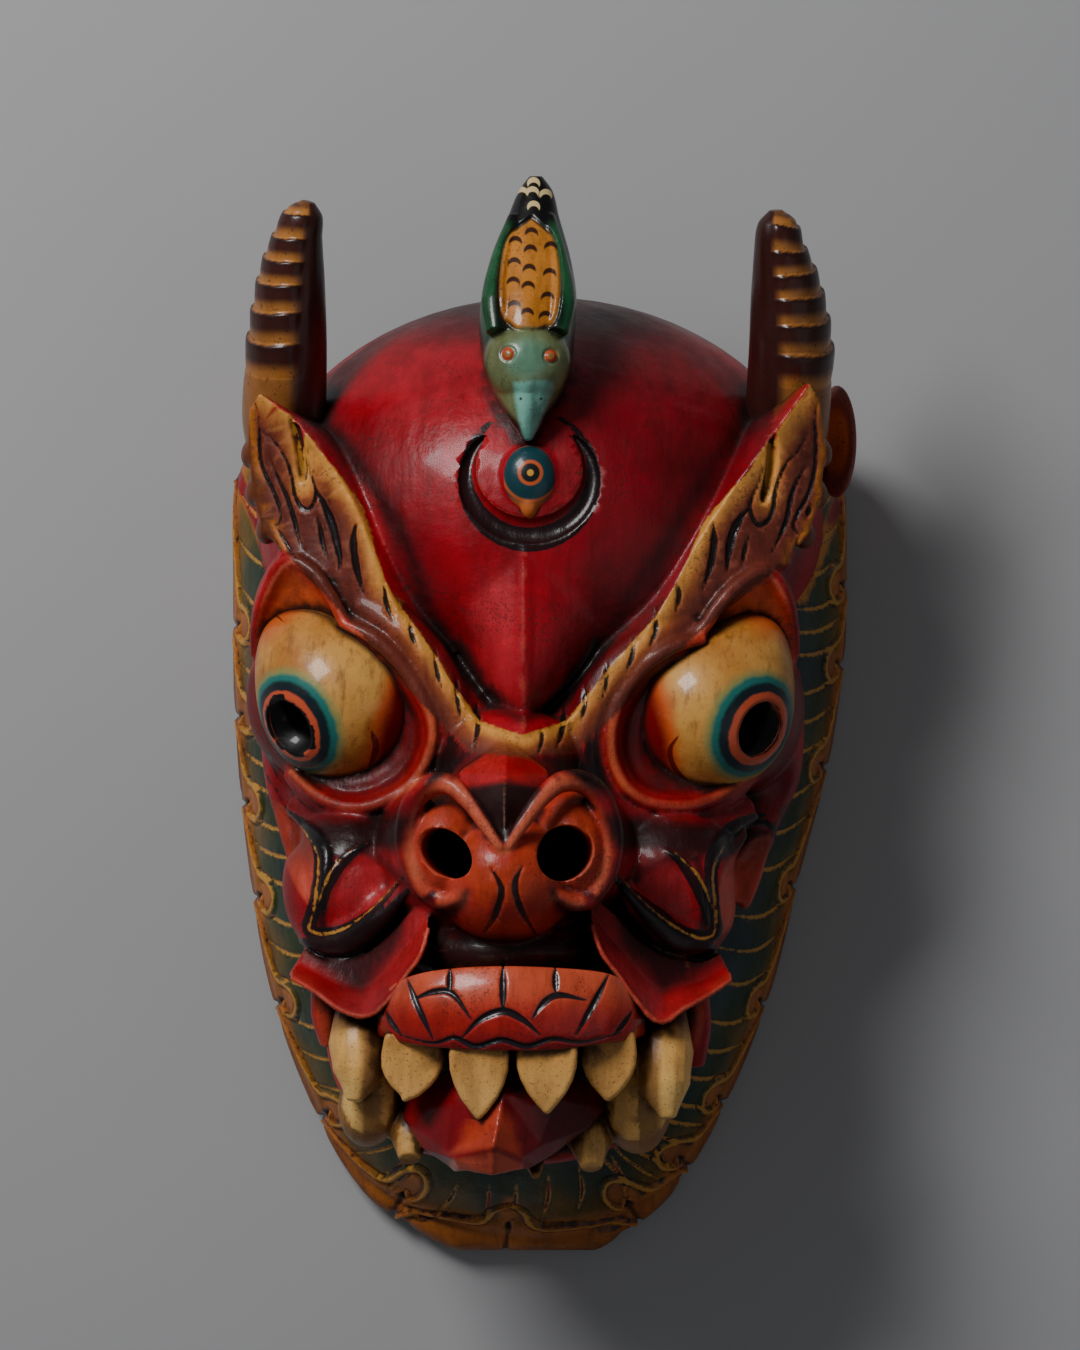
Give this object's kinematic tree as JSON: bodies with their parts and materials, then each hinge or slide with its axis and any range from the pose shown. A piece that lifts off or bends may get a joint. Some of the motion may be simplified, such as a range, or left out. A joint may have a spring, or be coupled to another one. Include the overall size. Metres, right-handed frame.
{
  "type": "cham mask",
  "caption": "Carved and painted wooden dance mask of a horned wrathful beast, with a third eye, flame brows, fangs, tongue, scalloped mane and a bird on the crown.",
  "frame": {"origin": "on the plane of the back rim, under the middle of the mask's box", "axes": "+Z out of the face, +Y up to the crown, +X to the viewer's right"},
  "size_m": [0.3011, 0.5128, 0.2389],
  "materials": {
    "painted_wood": "glossy",
    "horn_wood": "glossy",
    "bird_wood": "glossy"
  },
  "bodies": {
    "root": {"mask": "painted_wood", "horn_left": "horn_wood", "horn_right": "horn_wood", "ear_left": "horn_wood", "ear_right": "horn_wood", "bird": "bird_wood"}
  },
  "joints": []
}
